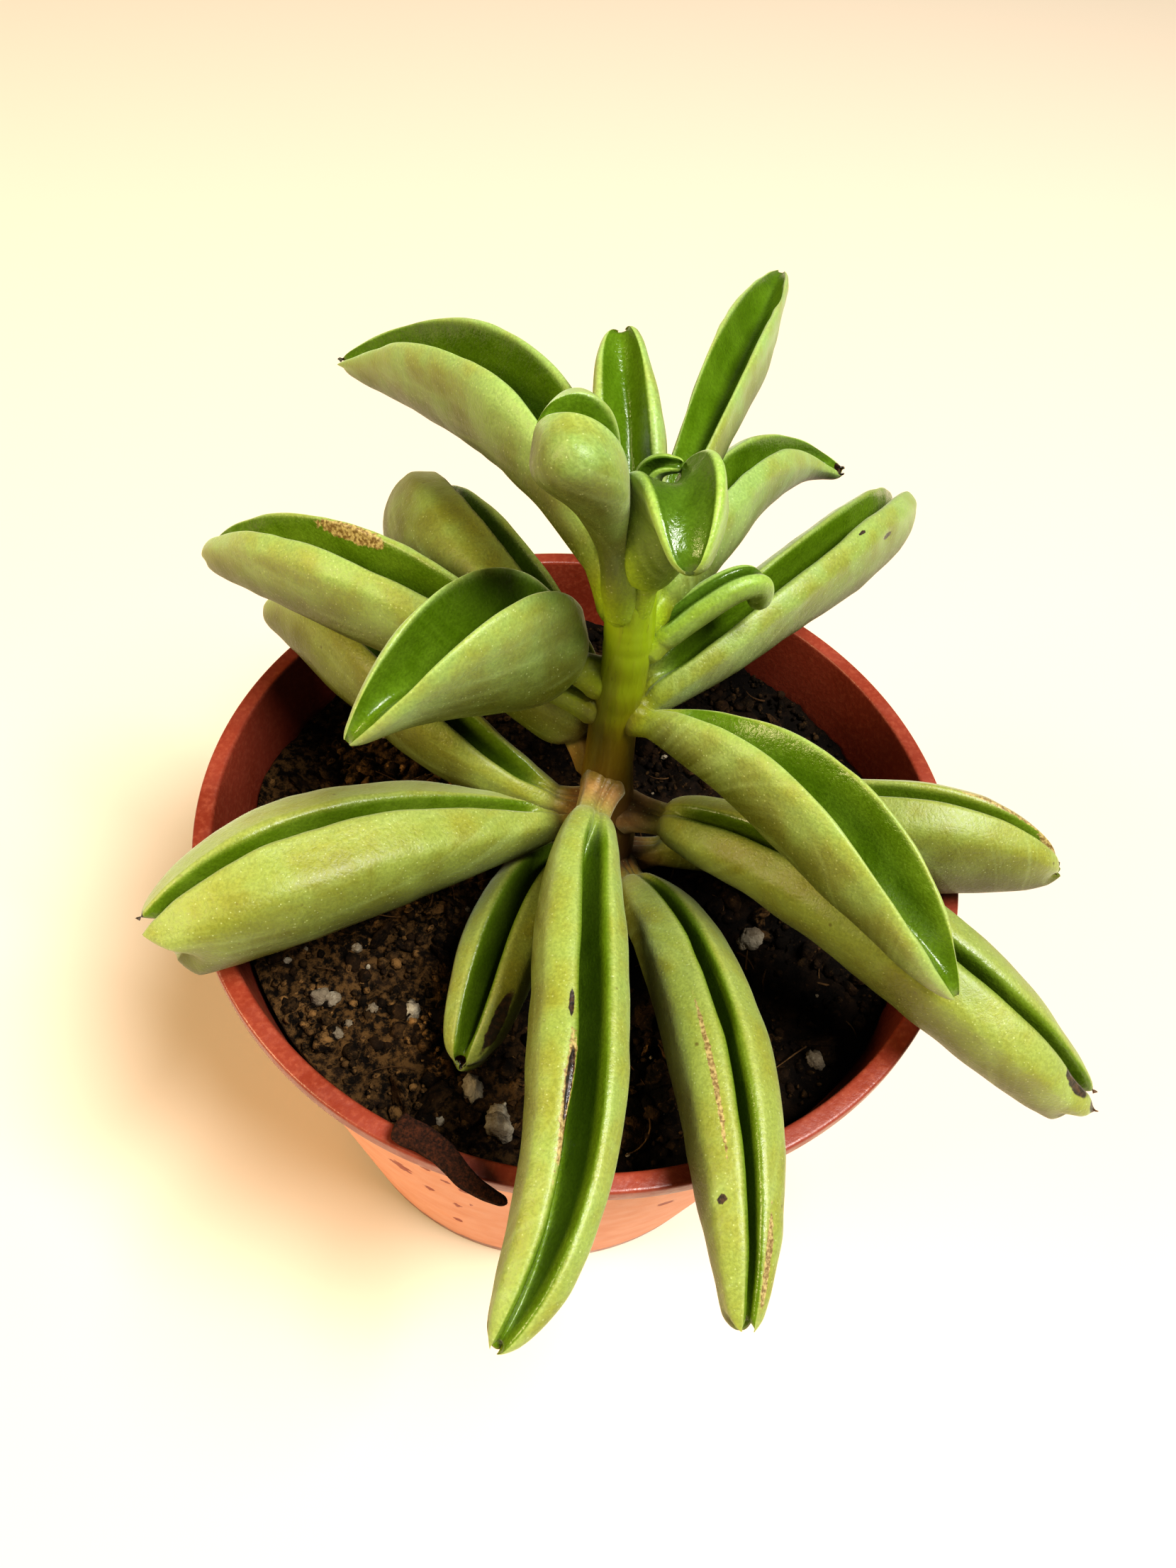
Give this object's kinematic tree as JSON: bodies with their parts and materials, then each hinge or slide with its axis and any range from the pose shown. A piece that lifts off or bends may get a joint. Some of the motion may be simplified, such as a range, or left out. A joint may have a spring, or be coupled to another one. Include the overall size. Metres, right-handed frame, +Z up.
{
  "type": "potted taco leaf peperomia",
  "caption": "Small succulent plant with thick, round-ended leaves folded lengthwise like tacos, on one stout stem in soil, in a tapered nursery pot.",
  "frame": {"origin": "centre of the pot's underside", "axes": "+Z up along the pot's axis, -Y towards the viewer of the plant's front, +X to that viewer's right"},
  "size_m": [0.1369, 0.1497, 0.1698],
  "materials": {
    "pot_plastic": "satin terracotta-coloured plastic",
    "soil": "dark loose potting mix of peat and bark with grit",
    "stem": "smooth succulent stem, green above and brown below",
    "leaf": "satin succulent leaf, pale outside and glossy dark green inside the fold",
    "young_leaf": "satin pale young leaf",
    "bark": "dry dark bark"
  },
  "bodies": {
    "root": {"pot": "pot_plastic", "soil": "soil", "stem": "stem", "leaf_young_inner": "young_leaf", "leaf_young_cup": "young_leaf", "leaf_top_front": "leaf", "leaf_top_back": "leaf", "leaf_upper_left": "leaf", "leaf_upper_back": "leaf", "leaf_upper_right": "leaf", "leaf_young_hook": "young_leaf", "leaf_left_front": "leaf", "leaf_right_back": "leaf", "leaf_left_mid": "leaf", "leaf_right_mid": "leaf", "leaf_back_left": "leaf", "leaf_front_long": "leaf", "leaf_left_back_low": "leaf", "leaf_left_low": "leaf", "leaf_right_low": "leaf", "leaf_small_front": "leaf", "leaf_front_right": "leaf", "leaf_right_back_low": "leaf", "bark": "bark"}
  },
  "joints": []
}
